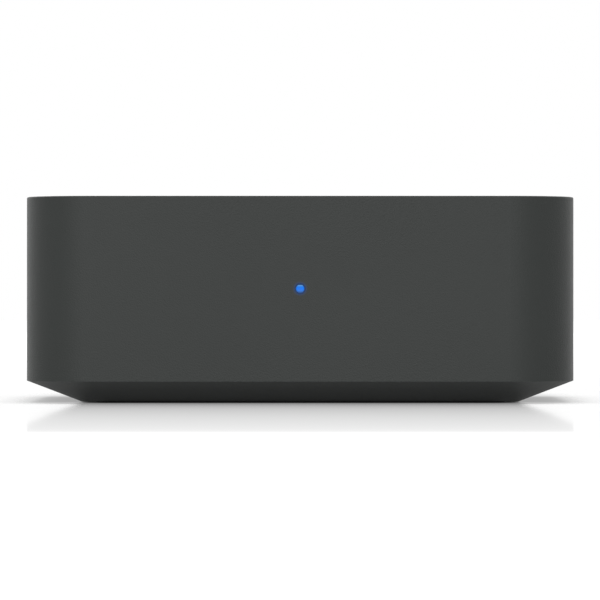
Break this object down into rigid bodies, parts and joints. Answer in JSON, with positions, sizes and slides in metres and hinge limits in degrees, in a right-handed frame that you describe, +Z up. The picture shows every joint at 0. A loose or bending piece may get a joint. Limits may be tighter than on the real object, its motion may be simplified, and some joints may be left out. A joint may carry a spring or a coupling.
{
  "type": "network audio adapter",
  "caption": "Small rounded-square box that joins a stereo to a home network, with a lit front lamp, a connector plate behind and a rubber foot.",
  "frame": {"origin": "middle of the foot's underside, on the surface the box stands on", "axes": "+X to the right seen from the front, +Y from the front to the connectors, +Z up"},
  "size_m": [0.125, 0.1324, 0.047],
  "materials": {
    "case_plastic": "fine sparked texture",
    "foot_rubber": "matt",
    "panel_plastic": "fine texture",
    "screw_steel": "black zinc plated",
    "bright_steel": "zinc plated",
    "light_guide_clear": "polished, lit blue",
    "lamp_body": "moulded",
    "board_laminate": "green solder mask",
    "chip_resin": "moulded resin",
    "small_part_ceramic": "fired",
    "tin_sheet": "tin plated sheet",
    "thermal_putty": "soft, tacky",
    "can_aluminium": "satin",
    "coil_ferrite": "sintered",
    "button_plastic": "smooth matt",
    "jack_resin": "smooth moulded",
    "jack_nickel": "nickel plated",
    "contact_gold": "gold flashed",
    "ring_white": "moulded",
    "ring_red": "moulded",
    "window_green": "clear tinted",
    "window_amber": "clear tinted",
    "shutter_resin": "smooth moulded",
    "spring_steel": "rolled",
    "cable_sheath": "extruded",
    "aerial_strip": "polyimide film on foam"
  },
  "bodies": {
    "case": {"top_cover": "case_plastic", "base_tray": "case_plastic", "foot_pad": "foot_rubber", "case_screws": "bright_steel", "board_screws": "bright_steel", "panel_screws": "screw_steel", "rear_panel": "panel_plastic", "main_board": "board_laminate", "connect_switch_body": "jack_resin", "reset_switch_body": "jack_resin", "power_inlet": "jack_resin", "power_pin": "jack_nickel", "power_leaf": "jack_nickel", "network_screen": "jack_nickel", "network_core": "jack_resin", "network_contacts": "contact_gold", "link_indicator": "window_green", "traffic_indicator": "window_amber", "optical_housing": "jack_resin", "shutter_pin": "spring_steel", "shutter_spring": "spring_steel", "optical_emitter": "jack_resin", "aux_housing": "jack_resin", "aux_contacts": "contact_gold", "aux_bushing": "jack_nickel", "aux_nut": "jack_nickel", "line_housing": "jack_resin", "line_insulator_left": "ring_white", "line_insulator_right": "ring_red", "line_barrels": "jack_nickel", "line_contacts": "jack_nickel", "status_lamp": "lamp_body", "light_guide": "light_guide_clear", "processor_chip": "chip_resin", "memory_chip": "chip_resin", "thermal_pad": "thermal_putty", "shield_frame": "tin_sheet", "shield_lid": "tin_sheet", "radio_module": "board_laminate", "radio_can": "tin_sheet", "aerial_plugs": "contact_gold", "aerial_left": "aerial_strip", "aerial_right": "aerial_strip", "aerial_lead_left": "cable_sheath", "aerial_lead_right": "cable_sheath", "converter_chip": "chip_resin", "network_chip": "chip_resin", "amplifier_chips": "chip_resin", "regulator_chips": "chip_resin", "filter_capacitors": "can_aluminium", "power_coils": "coil_ferrite", "crystal_cans": "tin_sheet", "small_parts": "small_part_ceramic"},
    "connect_button": {"connect_button": "button_plastic"},
    "connect_plunger": {"connect_switch_plunger": "shutter_resin"},
    "reset_plunger": {"reset_switch_plunger": "shutter_resin"},
    "shutter": {"optical_shutter": "shutter_resin"}
  },
  "joints": [
    {"name": "connect_press", "type": "slide", "parent": "case", "child": "connect_button", "axis": [0, -1, 0], "range_m": [0, 0.00035], "stiffness_N_per_m": 300},
    {"name": "connect_switch_press", "type": "slide", "parent": "case", "child": "connect_plunger", "axis": [0, -1, 0], "range_m": [0, 0.00035]},
    {"name": "reset_press", "type": "slide", "parent": "case", "child": "reset_plunger", "axis": [0, 0, 1], "range_m": [0, 0.00025], "stiffness_N_per_m": 100},
    {"name": "shutter_swing", "type": "hinge", "parent": "case", "child": "shutter", "pos_m": [-0.00178, 0.05695, 0.0258], "axis": [-1, 0, 0], "range_deg": [0, 90], "stiffness_Nm_per_rad": 0.0002, "deforming": ["shutter_spring"]}
  ],
  "couplings": [
    {"joint": "connect_switch_press", "follows": "connect_press", "ratio": 1}
  ]
}
